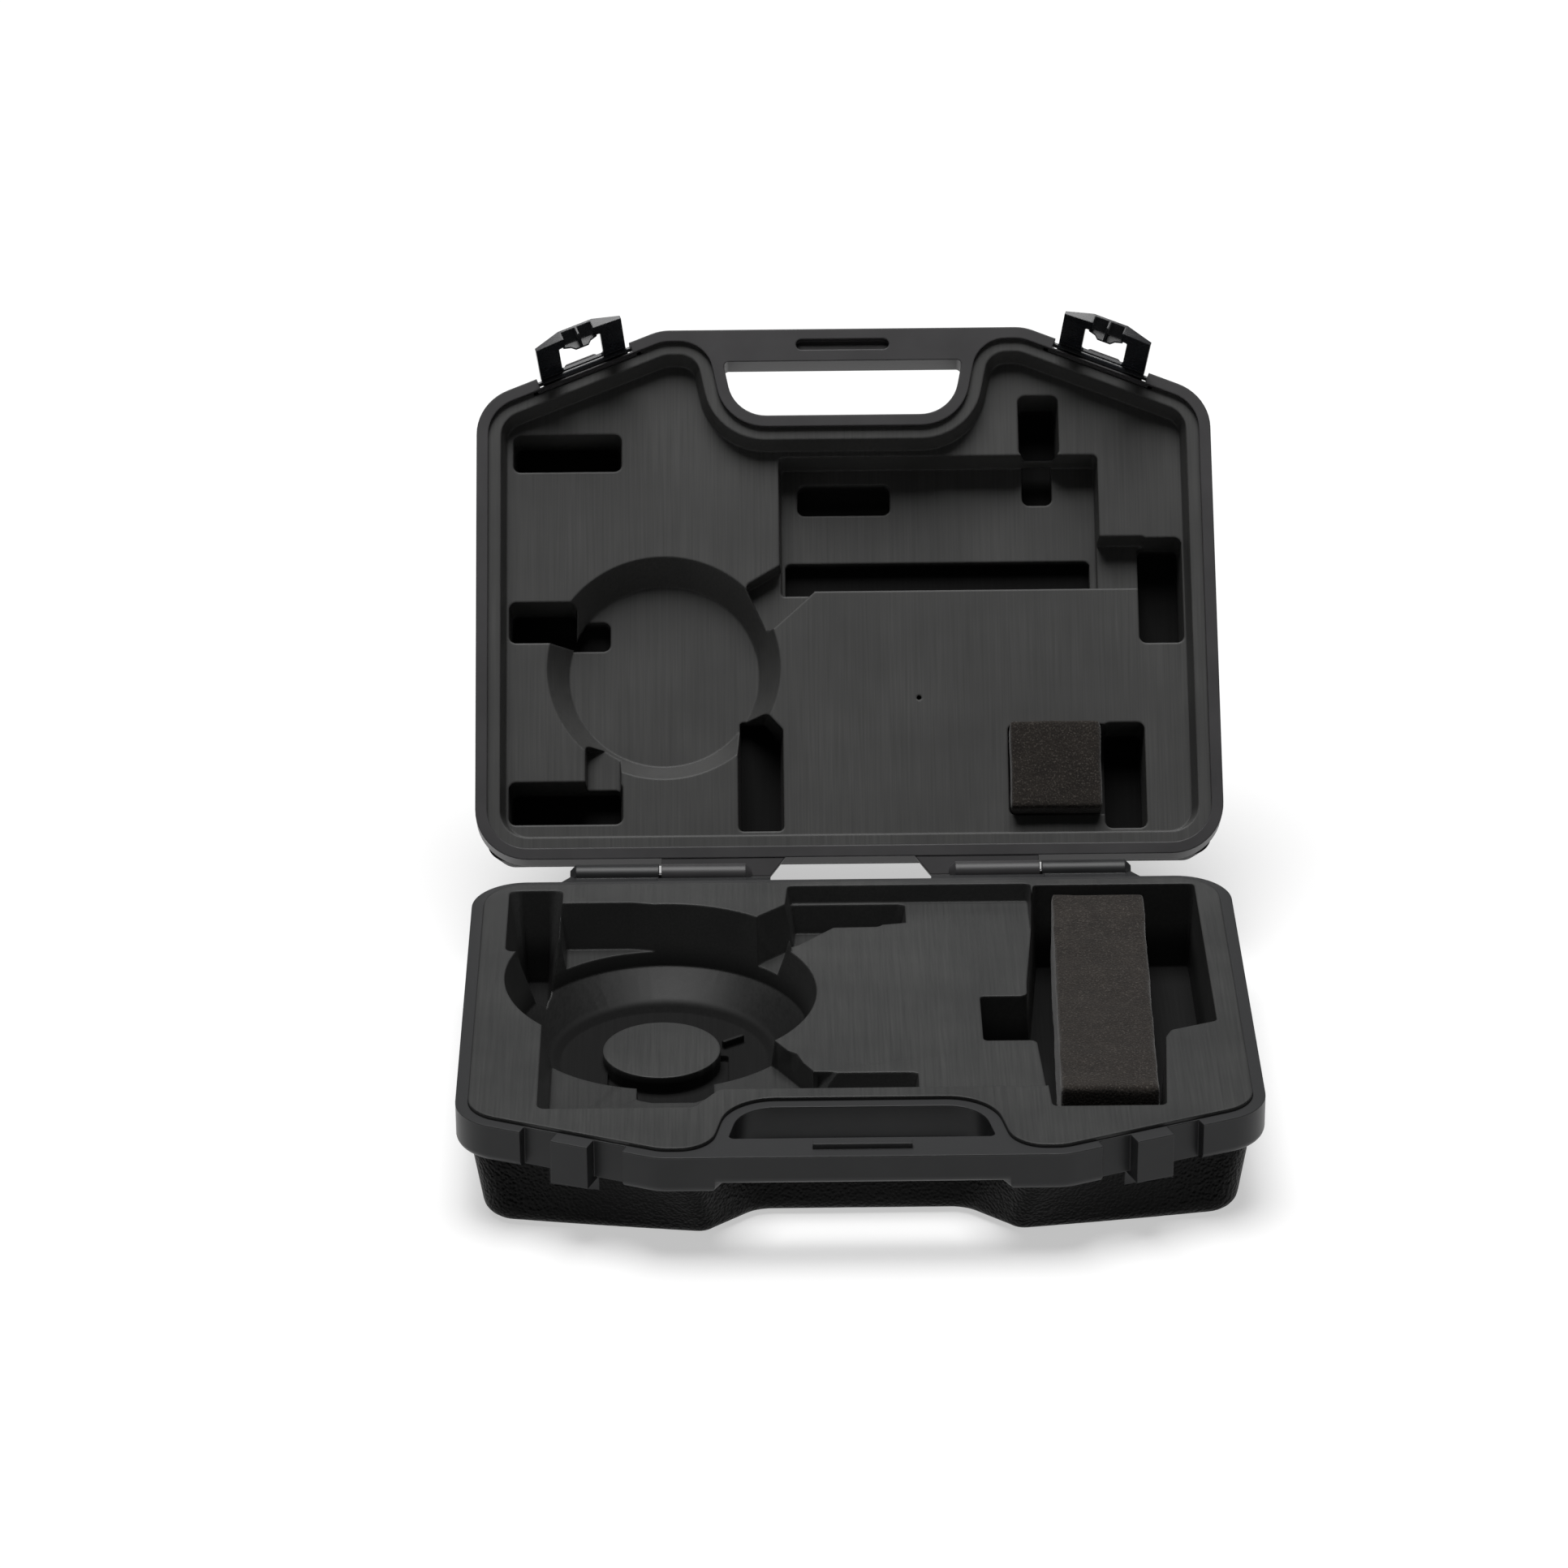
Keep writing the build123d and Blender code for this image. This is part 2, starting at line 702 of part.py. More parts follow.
with BuildPart() as lid_tray:
    with BuildSketch(level(lid_place, lid_flange)):
        add(inner_outline(flange_width - lip_width))
        with Locations(corner_place(-1), corner_place(1)):
            Rectangle(
                notch_width + 2 * (latch_pin_grip + seam_clearance),
                2 * (notch_depth + lid_wall + seam_clearance),
                mode=Mode.SUBTRACT,
            )
    extrude(amount=lid_tray_wall)
    add(well_solid(lid_place, lid_well, lid_tray_wall))
    for pocket in lid_pockets:
        add(pocket_solid(lid_place, pocket, lid_tray_wall))
    add(well_solid(lid_place, lid_well, 0), mode=Mode.SUBTRACT)
    for pocket in lid_pockets:
        add(pocket_solid(lid_place, pocket, 0), mode=Mode.SUBTRACT)
    with BuildSketch(level(lid_place, lid_floor)):
        add(round_plan(vent_x, vent_in, vent_r))
    extrude(amount=lid_tray_wall, mode=Mode.SUBTRACT)
lid_tray.part.label = "lid_tray"
export_step(lid_tray.part, "parts/lid_tray.step")


def latch_place(side):
    """Latch pivot with the latch swung out as it hangs on the open lid."""
    pivot = Location((0, latch_pivot_in, seam + latch_pivot_up))
    return lid_place * corner_place(side) * pivot * Location((0, 0, 0), (-latch_rest_angle, 0, 0))


def latch_section(side, along):
    """Plane across a latch, with its inward and upward directions."""
    return Plane(latch_place(side) * Location((along, 0, 0)) * Plane.YZ.location)


def latch_front(side, inward):
    """Plane along a latch, facing out."""
    return Plane(latch_place(side) * Location((0, inward, 0)) * Plane.XZ.location)


latch_inner = latch_thickness - latch_proud - latch_pivot_in
latch_outer = latch_inner - latch_thickness
latch_lip = -(latch_pivot_up + catch_height + latch_lip_gap)
latch_tip = latch_lip - tab_length
latch_corner = latch_tip + tab_shoulder
tab_outer = latch_inner - tab_thickness
hook_under = latch_lip - tab_wall
window_top = -(latch_barrel_r + window_gap)

for side, name in ((-1, "left"), (1, "right")):
    with BuildPart() as latch:
        with BuildSketch(latch_section(side, -latch_width / 2)):
            Circle(latch_barrel_r)
            with BuildLine():
                Polyline(
                    (latch_inner, 0), (latch_inner, latch_tip), (tab_outer, latch_tip),
                    (latch_outer, latch_lip), (latch_outer, -latch_root), (-latch_barrel_r, 0), close=True,
                )
            make_face()
        extrude(amount=latch_width)
        # Slanted outer corners
        with BuildSketch(latch_front(side, latch_barrel_r)):
            for across in (-1, 1):
                with BuildLine():
                    Polyline(
                        (across * tab_tip_width / 2, latch_tip),
                        (across * latch_width / 2, latch_corner),
                        (across * latch_width, latch_tip), close=True,
                    )
                make_face()
        extrude(amount=latch_barrel_r - tab_outer, mode=Mode.SUBTRACT)
        # Flare of the tab, which runs out towards both sides
        with BuildSketch(Plane(latch_place(side) * Location((0, 0, latch_tip)))):
            for across in (-1, 1):
                with BuildLine():
                    Polyline(
                        (across * tab_tip_width / 2, tab_outer), (across * latch_width / 2, latch_outer),
                        (across * latch_width / 2, tab_outer), close=True,
                    )
                make_face()
        extrude(amount=tab_length, mode=Mode.SUBTRACT)
        # Window that the catch stands in
        with BuildSketch(latch_front(side, latch_barrel_r)) as window_sketch:
            with Locations((0, (window_top + latch_lip) / 2)):
                RectangleRounded(window_width, window_top - latch_lip, window_corner_r)
        extrude(amount=latch_barrel_r - latch_outer, mode=Mode.SUBTRACT)
        # Hollow tab: two cells open towards the tip and the case, with a rib between them
        cell_width = (tab_tip_width - 3 * tab_wall) / 2
        for start in (-tab_wall / 2 - cell_width, tab_wall / 2):
            with BuildSketch(latch_section(side, start)):
                with BuildLine():
                    Polyline(
                        (latch_inner, hook_under), (latch_outer + tab_wall, hook_under),
                        (tab_outer + tab_wall, latch_tip), (latch_inner, latch_tip), close=True,
                    )
                make_face()
            extrude(amount=cell_width, mode=Mode.SUBTRACT)
        # Hook that reaches under the catch, and the rib that stiffens it
        with BuildSketch(Plane(latch_place(side) * Location((0, 0, hook_under)))):
            with BuildLine():
                Polyline(
                    (-tab_tip_width / 2, latch_outer + tab_wall), (tab_tip_width / 2, latch_outer + tab_wall),
                    (tab_tip_width / 2, latch_inner + hook_end_reach),
                    (hook_shoulder_width / 2, latch_inner + hook_shoulder_reach),
                    (hook_width / 2, latch_inner + hook_reach), (-hook_width / 2, latch_inner + hook_reach),
                    (-hook_shoulder_width / 2, latch_inner + hook_shoulder_reach),
                    (-tab_tip_width / 2, latch_inner + hook_end_reach), close=True,
                )
            make_face()
        extrude(amount=tab_wall)
        with BuildSketch(latch_section(side, -tab_wall / 2)):
            with BuildLine():
                Polyline(
                    (latch_outer + tab_wall, hook_under), (latch_inner + hook_reach, hook_under),
                    (latch_inner, latch_tip), (tab_outer + tab_wall, latch_tip), close=True,
                )
            make_face()
        extrude(amount=tab_wall)
        with BuildSketch(latch_section(side, -latch_width / 2)):
            Circle(latch_pin_r + pin_running_gap)
        extrude(amount=latch_width, mode=Mode.SUBTRACT)
    latch.part.label = f"latch_{name}"
    export_step(latch.part, f"parts/latch_{name}.step")

    with BuildPart() as latch_pin:
        with BuildSketch(latch_pin_plane(side)):
            Circle(latch_pin_r)
        extrude(amount=notch_width + 2 * latch_pin_grip)
    latch_pin.part.label = f"latch_pin_{name}"
    export_step(latch_pin.part, f"parts/latch_pin_{name}.step")

    with BuildPart() as hinge_pin:
        add(pin_bore(base_place, side, lid_lug_inner + base_wall + seam_clearance, base_lug_outer - base_wall,
                     hinge_pin_r))
    hinge_pin.part.label = f"hinge_pin_{name}"
    export_step(hinge_pin.part, f"parts/hinge_pin_{name}.step")

with BuildPart() as foam_strip:
    strip_start = Location((*spot(foam_strip_x, foam_strip_in), 0), (0, 0, foam_strip_skew))
    with BuildSketch(Plane(base_place * strip_start * Location((0, 0, seam)) * Plane.YZ.location)):
        with BuildLine():
            Polyline((0, foam_strip_back_top), (0, foam_floor), (-foam_strip_length, foam_floor),
                     (-foam_strip_length, foam_strip_front_top))
            Spline((-foam_strip_length, foam_strip_front_top), (-foam_strip_mid_in, foam_strip_mid_top),
                   (0, foam_strip_back_top))
        make_face()
    extrude(amount=foam_strip_width)
foam_strip.part.label = "foam_strip"
export_step(foam_strip.part, "parts/foam_strip.step")

with BuildPart() as foam_block:
    with BuildSketch(level(lid_place, foam_block_top)):
        add(box_plan(foam_block_x, foam_block_x + foam_block_size, foam_block_in,
                     foam_block_in + foam_block_size, foam_block_corner_r))
    extrude(amount=foam_block_floor - foam_block_top)
foam_block.part.label = "foam_block"
export_step(foam_block.part, "parts/foam_block.step")
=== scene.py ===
import json
import math

import bmesh
import bpy
from mathutils import Matrix, Vector, noise


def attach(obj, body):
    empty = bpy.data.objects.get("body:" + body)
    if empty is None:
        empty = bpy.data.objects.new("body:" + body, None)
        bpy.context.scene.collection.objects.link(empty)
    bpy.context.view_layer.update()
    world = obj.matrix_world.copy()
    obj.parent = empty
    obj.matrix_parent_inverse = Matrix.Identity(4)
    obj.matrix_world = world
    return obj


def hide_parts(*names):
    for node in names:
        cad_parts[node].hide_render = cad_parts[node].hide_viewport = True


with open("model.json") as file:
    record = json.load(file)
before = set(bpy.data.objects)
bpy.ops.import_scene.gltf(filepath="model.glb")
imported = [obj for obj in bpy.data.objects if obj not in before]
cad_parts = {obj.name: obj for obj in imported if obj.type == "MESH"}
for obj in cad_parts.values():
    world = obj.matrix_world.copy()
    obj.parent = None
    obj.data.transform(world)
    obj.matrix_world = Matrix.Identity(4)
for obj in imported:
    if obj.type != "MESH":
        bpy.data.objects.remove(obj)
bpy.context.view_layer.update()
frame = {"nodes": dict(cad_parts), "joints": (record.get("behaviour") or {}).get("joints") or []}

nodes = frame["nodes"]
joints = {joint["name"]: joint for joint in frame["joints"]}

MM = 0.001

# The photograph's camera, and its picture's width in pixels
CAMERA_PLACE = Vector((-48.99, -2527.56, 1383.67)) * MM
CAMERA_PITCH = math.radians(25.541)
CAMERA_YAW = math.radians(-0.336)
CAMERA_ROLL = math.radians(-0.452)
CAMERA_REACH = 20
FOCAL_PIXELS = 7294.59
PICTURE_PIXELS = 1932
SENSOR = 36.0

# Soft light from above, and the floor under it
SUN_FROM = (-0.06, 0.12, 1.0)
SUN_WIDTH = math.radians(40)
SUN_STRENGTH = 3.25
AMBIENT = 0.04
FLOOR_REACH = 9.0
FLOOR_COLOUR = 0.5
FLOOR_GLOW = 0.52

# Case: its depth at the rim, the height of its seam, and how deep the smooth bands are
CASE_DEPTH = 286.2 * MM
SEAM = 54 * MM
BAND = 15 * MM
COLLAR = 19.2 * MM

# Boss in the middle of the base's round well
BOSS = (-95 * MM, CASE_DEPTH / 2 - 106 * MM, 0)
BOSS_RADIUS = 28.4 * MM
BOSS_FADE = 1 * MM

# Smooth patch of the base below each catch
PATCH_X = 134 * MM
PATCH_HALF = 11 * MM
PATCH_LOW = SEAM - 31 * MM

# Levels and widths over which one finish of the outer skins gives way to the next, and the
# levels over which painted light brightens the base's top lip
BODY_FADE = 0.6 * MM
BACK_FADE = 0.4 * MM
PATCH_FADE = 1 * MM
LIP_LIGHT_FROM = SEAM - 1.2 * MM
LIP_LIGHT_TO = SEAM - 0.4 * MM

# The lid stands open: OPENED turns a point of the shut lid to where it is now
OPEN_ANGLE = math.radians(joints["lid_hinge"]["range_deg"][1])
HINGE = Matrix.Translation(joints["lid_hinge"]["pos_m"])
OPENED = HINGE @ Matrix.Rotation(-OPEN_ANGLE, 4, "X") @ HINGE.inverted()

# Plastics
SHINE = "Specular IOR Level"
CASE_SHINE = 0.3
PEBBLE_SHINE = 0.08
STREAK_STRETCH = (1, 0.02, 1)
STREAK_ROUGHNESS = 0.14
DEEP_ROUGHNESS = 0.5
BAND_ROUGHNESS = 0.4
PEBBLE_ROUGHNESS = 0.46
LATCH_ROUGHNESS = 0.2
MARKS_STRETCH = (0.12, 1, 1)
MARKS_ROUGHNESS = 0.12
GRAIN_SIZE = 0.5 * MM
GRAIN_DEPTH = 0.05 * MM
# Painted shade: near-black colour for the deepest pockets and the base's well
PAINTED_SHADE = (0.003, 0.003, 0.003)
# Painted light: paler colour for the base's top lip, which faces the light from above
PAINTED_LIP_LIGHT = (0.036, 0.0365, 0.0375)

# Levels of noise at which a colour starts to turn from dark to light, and is light
CLOUDY = (0.3, 0.7)
STREAKY = (0.1, 0.45)

# Meshes: the gap that is merged, the bend that is flat, and the bend that is an edge
MERGE = 0.002 * MM
FLAT = math.radians(0.5)
EDGE = math.radians(30)

# Foam: cell of its mesh, how far its skin is drawn in, and the depth, the size and the fractal
# dimension, lacunarity and octaves of its torn grain
FOAM_CELL = 1.8 * MM
FOAM_DRAWN_IN = 0.3 * MM
FOAM_TORN = 0.4 * MM
FOAM_TORN_SIZE = 25 * MM
FOAM_TORN_SHAPE = (0.6, 2.0, 2)


class Finish:
    """A node material, and the nodes that feed its shader."""

    def __init__(self, name):
        self.material = bpy.data.materials.new(name)
        self.material.use_nodes = True
        self.shader = self.material.node_tree.nodes["Principled BSDF"]

    def node(self, kind, **settings):
        """A new node with these settings."""
        made = self.material.node_tree.nodes.new("ShaderNode" + kind)
        for name, value in settings.items():
            setattr(made, name, value)
        return made

    def feed(self, socket, value):
        """Gives a socket another socket's value, a colour, or a number or vector."""
        if isinstance(value, bpy.types.NodeSocket):
            self.material.node_tree.links.new(value, socket)
        elif socket.type == "RGBA":
            socket.default_value = (*value, 1)
        else:
            socket.default_value = value

    def surface(self, values):
        """Feeds the shader's own sockets by name."""
        for name, value in values.items():
            self.feed(self.shader.inputs[name], value)

    def sum(self, operation, *values):
        """Result of one operation on sockets or numbers."""
        made = self.node("Math", operation=operation)
        for socket, value in zip(made.inputs, values):
            self.feed(socket, value)
        return made.outputs[0]

    def place(self, on_lid=False, stretch=(1, 1, 1)):
        """Object coordinates, on the lid as if it were shut."""
        shut, stretched = self.node("Mapping"), self.node("Mapping")
        if on_lid:
            self.feed(shut.inputs["Rotation"], (OPEN_ANGLE, 0, 0))
            self.feed(shut.inputs["Location"], OPENED.inverted().translation)
        self.feed(shut.inputs["Vector"], self.node("TexCoord").outputs["Object"])
        self.feed(stretched.inputs["Scale"], stretch)
        self.feed(stretched.inputs["Vector"], shut.outputs[0])
        return stretched.outputs[0]

    def axes(self, place):
        """The three coordinates of a place, by their letters."""
        made = self.node("SeparateXYZ")
        self.feed(made.inputs[0], place)
        return made.outputs

    def rise(self, value, low, high):
        """Runs smoothly from 0 to 1 as a socket goes from low to high."""
        made = self.node("MapRange", interpolation_type="SMOOTHSTEP")
        self.feed(made.inputs["From Min"], low)
        self.feed(made.inputs["From Max"], high)
        self.feed(made.inputs["Value"], value)
        return made.outputs["Result"]

    def mixed(self, factor, first, second):
        """Colour between two colours or colour sockets."""
        made = self.node("Mix", data_type="RGBA")
        self.feed(made.inputs["Factor"], factor)
        for name, value in (("A", first), ("B", second)):
            self.feed(next(i for i in made.inputs if i.name == name and i.type == "RGBA"), value)
        return next(o for o in made.outputs if o.type == "RGBA")

    def ramp(self, factor, low, high, dark, light):
        """Colour that runs from dark to light as the factor goes from low to high."""
        made = self.node("ValToRGB")
        for stop, position, colour in zip(made.color_ramp.elements, (low, high), (dark, light)):
            stop.position = position
            stop.color = (*colour, 1)
        self.feed(made.inputs["Fac"], factor)
        return made.outputs["Color"]

    def noise(self, place, size, detail, roughness=0.5):
        """Noise whose grains are about this size."""
        made = self.node("TexNoise")
        self.feed(made.inputs["Scale"], 1 / size)
        self.feed(made.inputs["Detail"], detail)
        self.feed(made.inputs["Roughness"], roughness)
        self.feed(made.inputs["Vector"], place)
        return made.outputs["Fac"]

    def cells(self, place, size, **settings):
        """Distance from the middles of cells of about this size."""
        made = self.node("TexVoronoi", **settings)
        self.feed(made.inputs["Scale"], 1 / size)
        self.feed(made.inputs["Vector"], place)
        return made.outputs["Distance"]

    def bump(self, height, depth, strength, under=None):
        """Normal of a relief of this depth, on top of another normal."""
        made = self.node("Bump")
        self.feed(made.inputs["Distance"], depth)
        self.feed(made.inputs["Strength"], strength)
        self.feed(made.inputs["Height"], height)
        if under is not None:
            self.feed(made.inputs["Normal"], under)
        return made.outputs["Normal"]

    def rounded(self, radius):
        """Normal that rounds sharp edges by this radius."""
        made = self.node("Bevel", samples=6)
        self.feed(made.inputs["Radius"], radius)
        return made.outputs["Normal"]


def moulded_satin(name, on_lid, colours, roughness, painted_shade_levels, painted_well_shade=None):
    """Satin inner-skin plastic with faint flow streaks, and painted shade black where it is
    deepest.

    The last argument paints shade into the base's well on the way down: its first and last
    level, and its share.
    """
    finish = Finish(name)
    place = finish.place(on_lid)
    height = finish.axes(place)["Z"]
    streaks = finish.noise(finish.place(on_lid, STREAK_STRETCH), size=1.1 * MM, detail=3)
    clouds = finish.noise(place, size=45 * MM, detail=2)
    grain = finish.noise(place, GRAIN_SIZE, detail=2)
    skin = finish.ramp(finish.sum("MULTIPLY", streaks, clouds), *STREAKY, *colours)
    # Painted shade: the base's well turns darker on the way down, except on the boss
    if painted_well_shade:
        first, last, share = painted_well_shade
        apart = finish.node("VectorMath", operation="DISTANCE")
        finish.feed(apart.inputs[0], finish.place(on_lid, stretch=(1, 1, 0)))
        finish.feed(apart.inputs[1], BOSS)
        beside = finish.rise(apart.outputs["Value"], BOSS_RADIUS, BOSS_RADIUS + BOSS_FADE)
        below = finish.sum("MULTIPLY", finish.rise(height, first, last), beside)
        skin = finish.mixed(finish.sum("MULTIPLY", below, share), skin, PAINTED_SHADE)
    # Painted shade: black below these levels, where the pockets are deepest; the surface is
    # rougher there too
    painted_shade_mask = finish.rise(height, *painted_shade_levels)
    streaked = finish.sum(
        "MULTIPLY_ADD", streaks, STREAK_ROUGHNESS, roughness - STREAK_ROUGHNESS / 2)
    relief = finish.bump(grain, GRAIN_DEPTH, strength=0.3, under=finish.rounded(1.5 * MM))
    finish.surface({
        "Base Color": finish.mixed(painted_shade_mask, skin, PAINTED_SHADE),
        "Roughness": finish.sum("MULTIPLY_ADD", painted_shade_mask, DEEP_ROUGHNESS, streaked),
        SHINE: CASE_SHINE,
        "Normal": finish.bump(streaks, depth=0.02 * MM, strength=0.25, under=relief),
    })
    return finish.material


def moulded_pebble(name, on_lid, body_levels, band_colours, body_colours):
    """Outer skin: smooth on the band and the hinge knuckles, pebbled on the body."""
    finish = Finish(name)
    place = finish.place(on_lid)
    axes = finish.axes(place)
    back = CASE_DEPTH / 2
    before_back = finish.rise(axes["Y"], back + BACK_FADE, back - BACK_FADE)
    body = finish.sum("MULTIPLY", finish.rise(axes["Z"], *body_levels), before_back)
    clouds = finish.noise(place, size=30 * MM, detail=3)
    band = finish.ramp(clouds, *CLOUDY, *band_colours)
    if not on_lid:
        # Painted light: the band turns paler just below the seam, on the top lip
        lip_light_mask = finish.rise(axes["Z"], LIP_LIGHT_FROM, LIP_LIGHT_TO)
        band = finish.mixed(finish.sum("MULTIPLY", lip_light_mask, before_back), band, PAINTED_LIP_LIGHT)
        for side in (-1, 1):
            across = finish.sum("ABSOLUTE", finish.sum("SUBTRACT", axes["X"], side * PATCH_X))
            beside = finish.rise(across, PATCH_HALF, PATCH_HALF + PATCH_FADE)
            below = finish.rise(axes["Z"], PATCH_LOW + PATCH_FADE, PATCH_LOW)
            body = finish.sum("MULTIPLY", body, finish.sum("MAXIMUM", beside, below))
    grain = finish.noise(place, GRAIN_SIZE, detail=2)
    relief = finish.bump(grain, GRAIN_DEPTH, strength=0.3, under=finish.rounded(0.9 * MM))
    pebbles = finish.sum(
        "MULTIPLY", finish.cells(place, size=1.5 * MM, feature="SMOOTH_F1"), body)
    finish.surface({
        "Base Color": finish.mixed(body, band, finish.ramp(clouds, *CLOUDY, *body_colours)),
        "Roughness": finish.sum(
            "MULTIPLY_ADD", body, PEBBLE_ROUGHNESS - BAND_ROUGHNESS, BAND_ROUGHNESS),
        SHINE: finish.sum("MULTIPLY_ADD", body, PEBBLE_SHINE - CASE_SHINE, CASE_SHINE),
        "Normal": finish.bump(pebbles, depth=0.9 * MM, strength=0.9, under=relief),
    })
    return finish.material


def gloss_plastic(name, colours):
    """Latch plastic: smoother and bluer than the case, with faint handling marks."""
    finish = Finish(name)
    place = finish.place()
    clouds = finish.noise(place, size=12 * MM, detail=3)
    marks = finish.noise(
        finish.place(stretch=MARKS_STRETCH), size=1.5 * MM, detail=4, roughness=0.6)
    grain = finish.noise(place, size=0.8 * MM, detail=2)
    finish.surface({
        "Base Color": finish.ramp(clouds, *CLOUDY, *colours),
        "Roughness": finish.sum("MULTIPLY_ADD", marks, MARKS_ROUGHNESS, LATCH_ROUGHNESS),
        "Normal": finish.bump(
            grain, depth=0.03 * MM, strength=0.25, under=finish.rounded(0.5 * MM)),
    })
    return finish.material


def open_foam(name, colours, speck):
    """Brown charcoal foam: fine open cells with scattered paler specks."""
    finish = Finish(name)
    place = finish.place()
    patches = finish.noise(place, size=14 * MM, detail=3, roughness=0.6)
    specks = finish.noise(place, size=0.9 * MM, detail=3, roughness=0.7)
    pores = finish.bump(finish.cells(place, size=1.2 * MM), depth=0.5 * MM, strength=0.5)
    pale = finish.rise(specks, low=0.5, high=0.75)
    ground = finish.ramp(patches, *CLOUDY, *colours)
    finish.surface({
        "Base Color": finish.mixed(pale, ground, speck),
        "Roughness": 0.95,
        SHINE: 0.2,
        "Sheen Weight": 0.2,
        "Normal": finish.bump(specks, depth=0.3 * MM, strength=0.5, under=pores),
    })
    return finish.material


def blackened_steel(name, colours):
    """Drawn steel wire with a dark oxide."""
    finish = Finish(name)
    lines = finish.noise(finish.place(stretch=(0.1, 1, 1)), size=0.4 * MM, detail=2)
    finish.surface({
        "Base Color": finish.ramp(lines, *CLOUDY, *colours),
        "Metallic": 1.0,
        "Roughness": 0.4,
        "Normal": finish.bump(lines, depth=0.02 * MM, strength=0.3),
    })
    return finish.material


BASE_TRAY = moulded_satin(
    "base_inner_satin", on_lid=False, roughness=0.42,
    colours=((0.038, 0.0386, 0.0385), (0.057, 0.0575, 0.0565)),
    # Painted shade: black below the deepest levels of the base's pockets
    painted_shade_levels=(SEAM - 40.5 * MM, SEAM - 44 * MM),
    # Painted shade: darker down the base's well, beside the boss
    painted_well_shade=(SEAM - 16 * MM, SEAM - 34 * MM, 0.8))
LID_TRAY = moulded_satin(
    "lid_inner_satin", on_lid=True, roughness=0.44,
    colours=((0.044, 0.044, 0.0432), (0.066, 0.066, 0.0645)),
    # Painted shade: black in the lid's deepest pockets
    painted_shade_levels=(SEAM + 30.5 * MM, SEAM + 35 * MM))
BASE_SHELL = moulded_pebble(
    "base_outer_pebble", on_lid=False,
    body_levels=(SEAM - COLLAR, SEAM - COLLAR - BODY_FADE),
    band_colours=((0.013, 0.0135, 0.0145), (0.021, 0.0215, 0.0225)),
    body_colours=((0.002, 0.002, 0.002), (0.004, 0.004, 0.004)))
LID_SHELL = moulded_pebble(
    "lid_outer_pebble", on_lid=True,
    body_levels=(SEAM + BAND, SEAM + BAND + BODY_FADE),
    band_colours=((0.036, 0.035, 0.0365), (0.05, 0.0485, 0.0505)),
    body_colours=((0.004, 0.004, 0.0045), (0.008, 0.008, 0.008)))
LATCH = gloss_plastic("latch_gloss", ((0.006, 0.007, 0.009), (0.012, 0.0135, 0.017)))
FOAM = open_foam(
    "charcoal_foam", ((0.012, 0.0095, 0.008), (0.021, 0.017, 0.014)), (0.09, 0.08, 0.07))
STEEL = blackened_steel("pin_steel", ((0.05, 0.05, 0.052), (0.11, 0.11, 0.11)))


def shown(name, data):
    """A new object in the scene."""
    made = bpy.data.objects.new(name, data)
    bpy.context.scene.collection.objects.link(made)
    return made


def coat(piece, finish):
    """Gives a piece one material."""
    piece.data.materials.clear()
    piece.data.materials.append(finish)


def joined(node, name, flatten):
    """A new piece with a CAD node's mesh, its triangles joined up."""
    data = nodes[node].data.copy()
    mesh = bmesh.new()
    mesh.from_mesh(data)
    bmesh.ops.remove_doubles(mesh, verts=mesh.verts, dist=MERGE)
    if flatten:
        bmesh.ops.dissolve_limit(mesh, angle_limit=FLAT, verts=mesh.verts, edges=mesh.edges)
    mesh.to_mesh(data)
    mesh.free()
    return shown(name, data)


def modify(piece, kind, **settings):
    """Adds a modifier with these settings."""
    made = piece.modifiers.new(kind.lower(), kind)
    for name, value in settings.items():
        setattr(made, name, value)


def baked(piece):
    """Replaces a piece's mesh by what its modifiers make of it."""
    depsgraph = bpy.context.evaluated_depsgraph_get()
    final = bpy.data.meshes.new_from_object(piece.evaluated_get(depsgraph))
    piece.modifiers.clear()
    piece.data = final


def smooth(piece):
    """Shades all faces of a piece smooth."""
    for polygon in piece.data.polygons:
        polygon.use_smooth = True


def stand_in(piece, node, body, finish):
    """Finishes a piece that stands for a CAD node and rides on its body."""
    coat(piece, finish)
    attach(piece, body)
    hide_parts(node)


def softened(node, body, finish, width):
    """A CAD node's shape with smooth curves, and edges eased where there is room."""
    piece = joined(node, node + "_skin", flatten=True)
    modify(piece, "BEVEL", width=width, segments=2, limit_method="ANGLE", angle_limit=EDGE,
           use_clamp_overlap=True)
    baked(piece)
    smooth(piece)
    piece.data.set_sharp_from_angle(angle=EDGE)
    modify(piece, "WEIGHTED_NORMAL", keep_sharp=True, weight=60)
    baked(piece)
    stand_in(piece, node, body, finish)


def cut_foam(node, body):
    """Foam pad in the place of its CAD solid, with soft cut edges and a torn grain."""
    piece = joined(node, node + "_pad", flatten=False)
    modify(piece, "REMESH", mode="VOXEL", voxel_size=FOAM_CELL)
    modify(piece, "SMOOTH", factor=0.5, iterations=6)
    baked(piece)
    normals = [Vector(normal.vector) for normal in piece.data.vertex_normals]
    for vertex, normal in zip(piece.data.vertices, normals):
        torn = noise.fractal(vertex.co / FOAM_TORN_SIZE, *FOAM_TORN_SHAPE)
        vertex.co -= normal * (FOAM_DRAWN_IN + torn * FOAM_TORN)
    smooth(piece)
    stand_in(piece, node, body, FOAM)


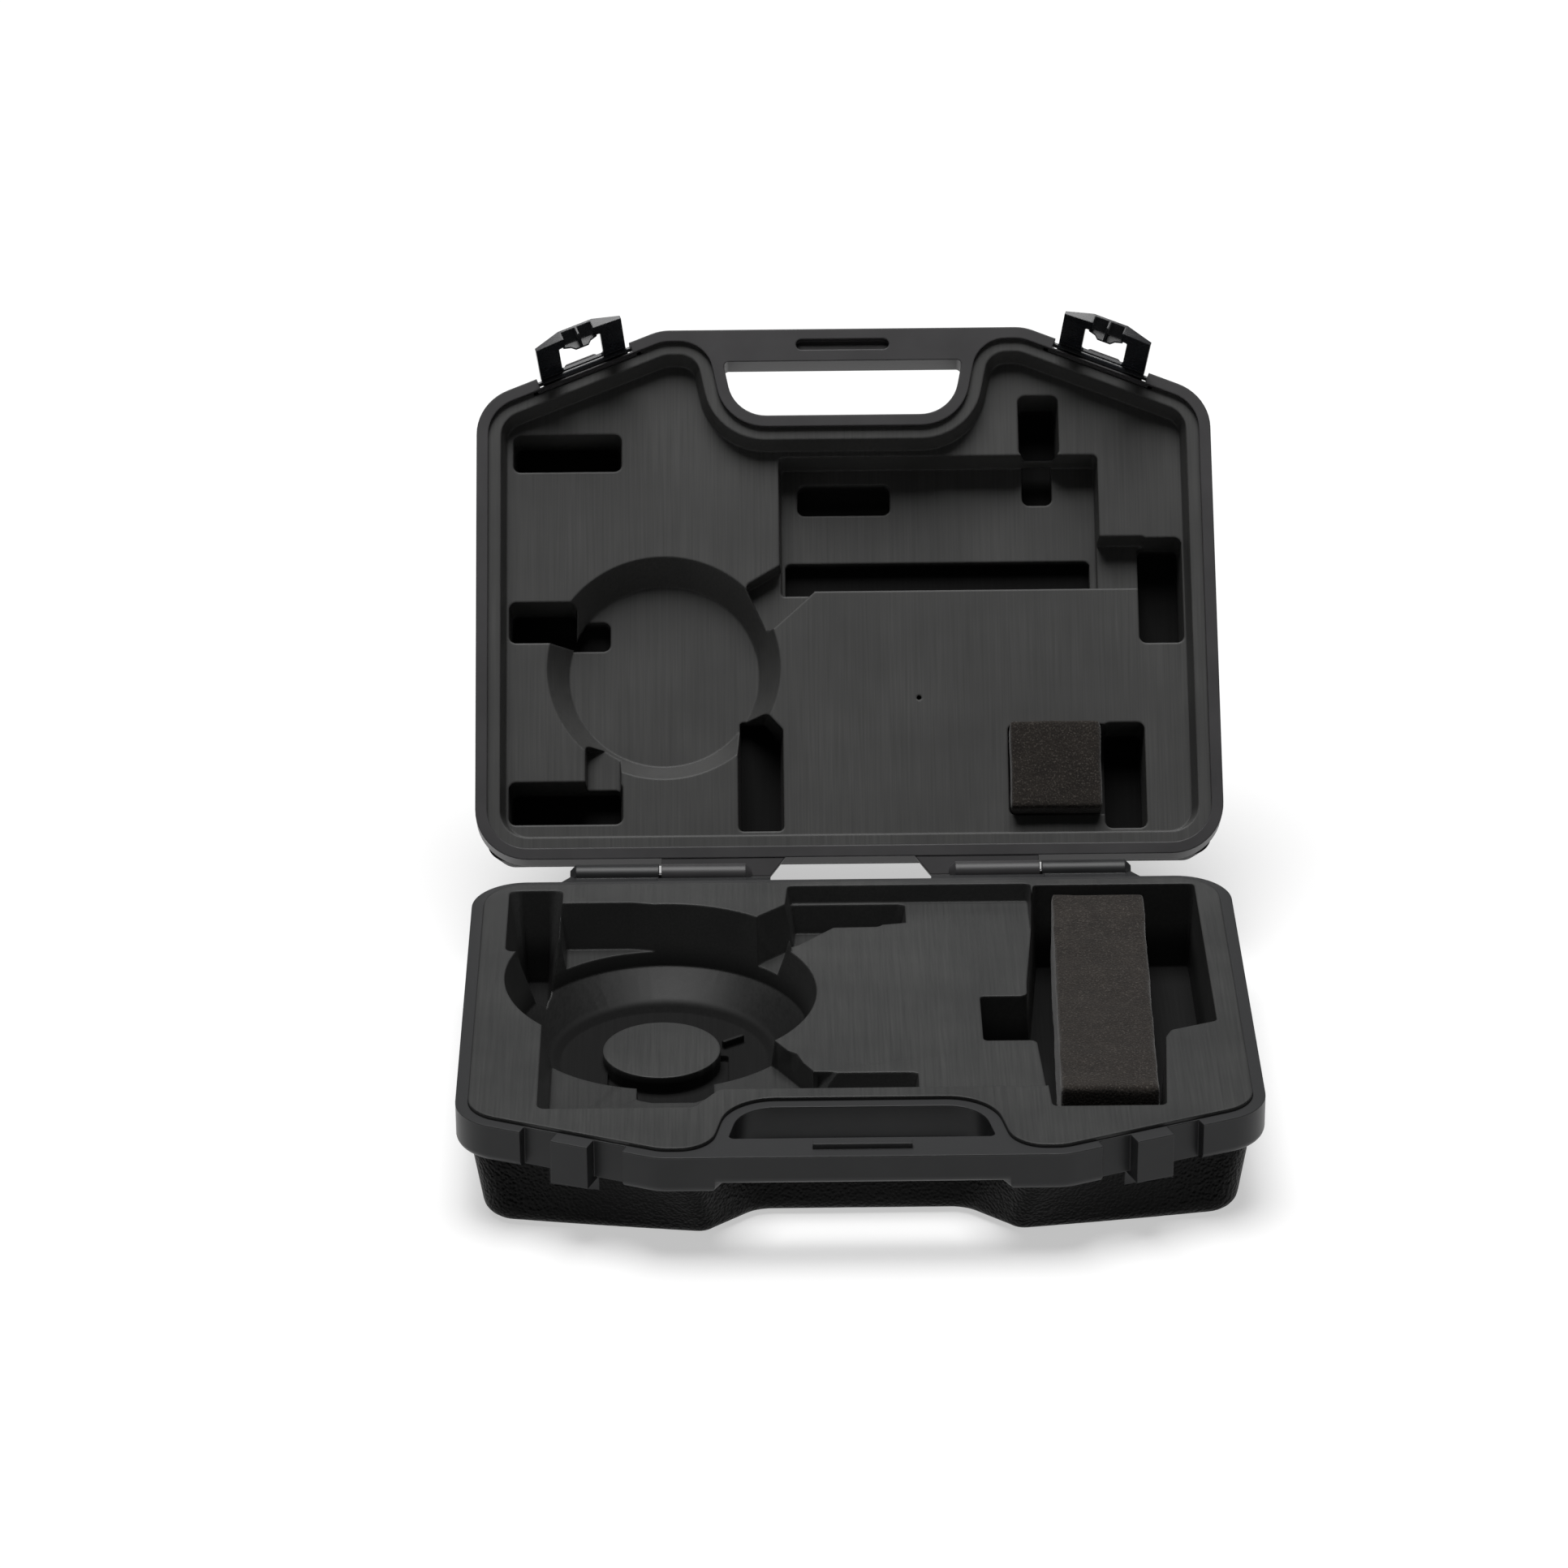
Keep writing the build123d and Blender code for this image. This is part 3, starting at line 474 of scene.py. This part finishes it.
def floor():
    """Pale floor that is seen and mirrored as white, and keeps its shadows."""
    finish = Finish("white_floor")
    ray = finish.node("LightPath").outputs
    seen = finish.sum("MAXIMUM", ray["Is Camera Ray"], ray["Is Glossy Ray"])
    seen = finish.sum("MAXIMUM", seen, ray["Is Transmission Ray"])
    finish.surface({
        "Base Color": (FLOOR_COLOUR,) * 3,
        "Roughness": 1.0,
        SHINE: 0.0,
        "Emission Color": (1, 1, 1),
        "Emission Strength": finish.sum("MULTIPLY", seen, FLOOR_GLOW),
    })
    data = bpy.data.meshes.new("floor")
    signs = ((-1, -1), (1, -1), (1, 1), (-1, 1))
    corners = [(x * FLOOR_REACH, y * FLOOR_REACH, 0) for x, y in signs]
    data.from_pydata(corners, [], [(0, 1, 2, 3)])
    made = shown("floor", data)
    coat(made, finish.material)


def light():
    """One broad soft light from above, and a faint even one."""
    lamp = bpy.data.lights.new("overhead", "SUN")
    lamp.angle = SUN_WIDTH
    lamp.energy = SUN_STRENGTH
    shown("overhead", lamp).rotation_euler = Vector(SUN_FROM).to_track_quat("Z", "Y").to_euler()
    world = bpy.data.worlds.new("studio")
    bpy.context.scene.world = world
    world.use_nodes = True
    sky = world.node_tree.nodes["Background"].inputs
    sky["Strength"].default_value = AMBIENT
    sky["Color"].default_value = (1, 1, 1, 1)


def camera():
    """The photograph's camera."""
    yaw = Matrix.Rotation(CAMERA_YAW, 3, "Z")
    forward = yaw @ Vector((0, math.cos(CAMERA_PITCH), -math.sin(CAMERA_PITCH)))
    upward = yaw @ Vector((0, math.sin(CAMERA_PITCH), math.cos(CAMERA_PITCH)))
    right = yaw @ Vector((1, 0, 0))
    across = math.cos(CAMERA_ROLL) * right + math.sin(CAMERA_ROLL) * upward
    above = -math.sin(CAMERA_ROLL) * right + math.cos(CAMERA_ROLL) * upward
    turn = Matrix((across, above, -forward)).transposed()
    data = bpy.data.cameras.new("camera")
    data.sensor_width = SENSOR
    data.lens = FOCAL_PIXELS / PICTURE_PIXELS * SENSOR
    data.clip_end = CAMERA_REACH
    made = shown("camera", data)
    made.matrix_world = Matrix.Translation(CAMERA_PLACE) @ turn.to_4x4()
    bpy.context.scene.camera = made


softened("base_tray", "base", BASE_TRAY, 0.8 * MM)
softened("lid_tray", "lid", LID_TRAY, 0.8 * MM)
softened("base_shell", "base", BASE_SHELL, 0.6 * MM)
softened("lid_shell", "lid", LID_SHELL, 0.6 * MM)
for name in ("latch_left", "latch_right"):
    softened(name, name, LATCH, 0.35 * MM)
cut_foam("foam_strip", "base")
cut_foam("foam_block", "lid")
for name in ("hinge_pin_left", "hinge_pin_right", "latch_pin_left", "latch_pin_right"):
    coat(nodes[name], STEEL)

floor()
light()
camera()
bpy.context.scene.view_settings.view_transform = "Standard"
